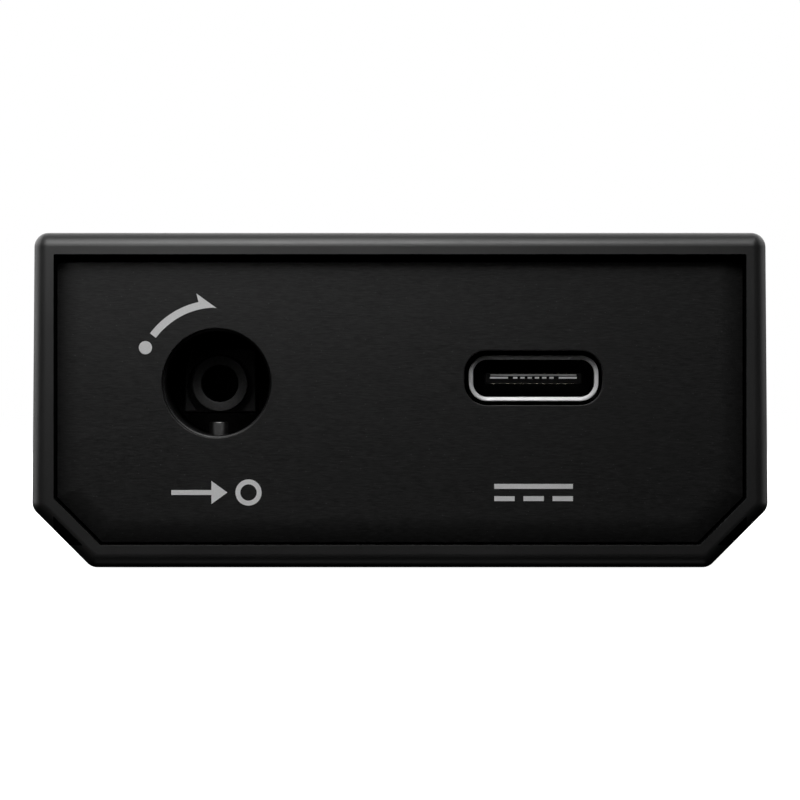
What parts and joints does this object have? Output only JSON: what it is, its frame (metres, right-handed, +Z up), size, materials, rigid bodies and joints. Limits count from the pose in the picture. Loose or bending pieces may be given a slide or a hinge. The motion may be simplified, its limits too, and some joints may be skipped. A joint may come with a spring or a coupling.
{
  "type": "headphone amplifier",
  "caption": "Compact desktop headphone amplifier in a black extruded case: locking input socket and USB-C power at one end, volume knob, phones socket and power button at the other.",
  "frame": {"origin": "on the surface that the feet stand on, under the middle of the box that holds the whole object", "axes": "+Z up; -Y out of the socket end (input and USB-C power), +Y out of the end with the volume knob; +X to the right as seen facing the socket end"},
  "size_m": [0.0504, 0.092, 0.0233],
  "materials": {
    "case_black": "satin",
    "panel_black": "matte",
    "socket_black": "matte",
    "nickel": "gloss",
    "steel": "satin",
    "black_steel": "satin",
    "contact_bronze": "satin",
    "board_green": "gloss",
    "foot_rubber": "matte",
    "light_lens": "gloss",
    "capacitor_can": "satin",
    "chip_black": "matte",
    "ferrite": "matte",
    "film": "gloss",
    "legend_grey": "matte"
  },
  "bodies": {
    "chassis": {"case_shell": "case_black", "rear_panel": "panel_black", "front_panel": "panel_black", "lock_sleeve": "socket_black", "lock_pin": "steel", "input_jack_body": "socket_black", "input_jack_nose": "socket_black", "input_tip_terminal": "contact_bronze", "input_ring_terminal": "contact_bronze", "usb_shell": "nickel", "usb_insulator": "socket_black", "phones_jack_body": "socket_black", "phones_jack_bush": "nickel", "phones_jack_nut": "nickel", "phones_tip_terminal": "contact_bronze", "phones_ring_terminal": "contact_bronze", "volume_pot_body": "steel", "volume_pot_bush": "nickel", "volume_pot_washer": "steel", "volume_pot_nut": "nickel", "volume_pot_terminals": "contact_bronze", "power_switch_body": "socket_black", "led_light_pipe": "light_lens", "led_chip": "light_lens", "main_board": "board_green", "capacitor_1": "capacitor_can", "capacitor_2": "capacitor_can", "capacitor_3": "capacitor_can", "capacitor_4": "capacitor_can", "amplifier_chip_left": "chip_black", "amplifier_chip_right": "chip_black", "inductor_1": "ferrite", "inductor_2": "ferrite", "power_converter_chip": "chip_black", "resettable_fuse": "chip_black", "mute_relay": "socket_black", "insulating_film": "film", "case_screw_rear_left": "black_steel", "case_screw_rear_right": "black_steel", "case_screw_front_left": "black_steel", "case_screw_front_right": "black_steel", "foot_rear_left": "foot_rubber", "foot_rear_right": "foot_rubber", "foot_front_left": "foot_rubber", "foot_front_right": "foot_rubber"},
    "volume_control": {"volume_knob": "case_black", "volume_shaft": "steel", "knob_set_screw": "black_steel"},
    "power_button": {"power_button_cap": "case_black", "power_switch_plunger": "socket_black"}
  },
  "joints": [
    {"name": "volume_turn", "type": "hinge", "parent": "chassis", "child": "volume_control", "pos_m": [-0.014, 0.042, 0.01296], "axis": [0, -1, 0], "range_deg": [-150, 150]},
    {"name": "power_press", "type": "slide", "parent": "chassis", "child": "power_button", "axis": [0, -1, 0], "range_m": [0, 0.0006], "stiffness_N_per_m": 3000}
  ]
}
